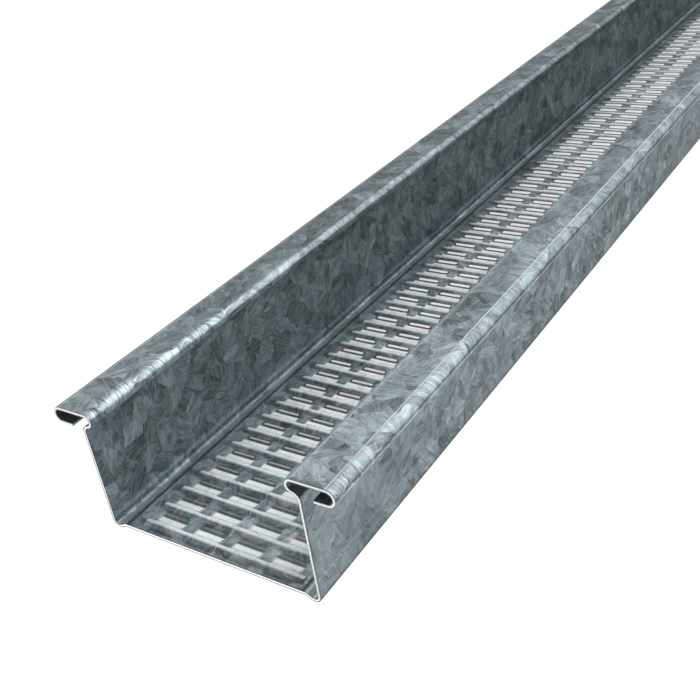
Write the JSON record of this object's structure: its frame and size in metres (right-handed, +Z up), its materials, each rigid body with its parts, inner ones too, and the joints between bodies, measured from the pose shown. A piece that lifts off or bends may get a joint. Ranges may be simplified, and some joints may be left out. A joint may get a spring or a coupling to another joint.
{
  "type": "furring channel",
  "caption": "Roll-formed galvanised steel furring channel with hooked lips and rows of slots pierced across its web.",
  "frame": {"origin": "on the floor under the middle of the channel, half way along and on its line of symmetry", "axes": "+Y along the channel, +X across it, +Z up out of its open side; it lies web down on the two foot beads"},
  "size_m": [0.066, 2.4, 0.028],
  "materials": {
    "galvanised_steel": "satin"
  },
  "bodies": {
    "root": {"furring_channel": "galvanised_steel"}
  },
  "joints": []
}
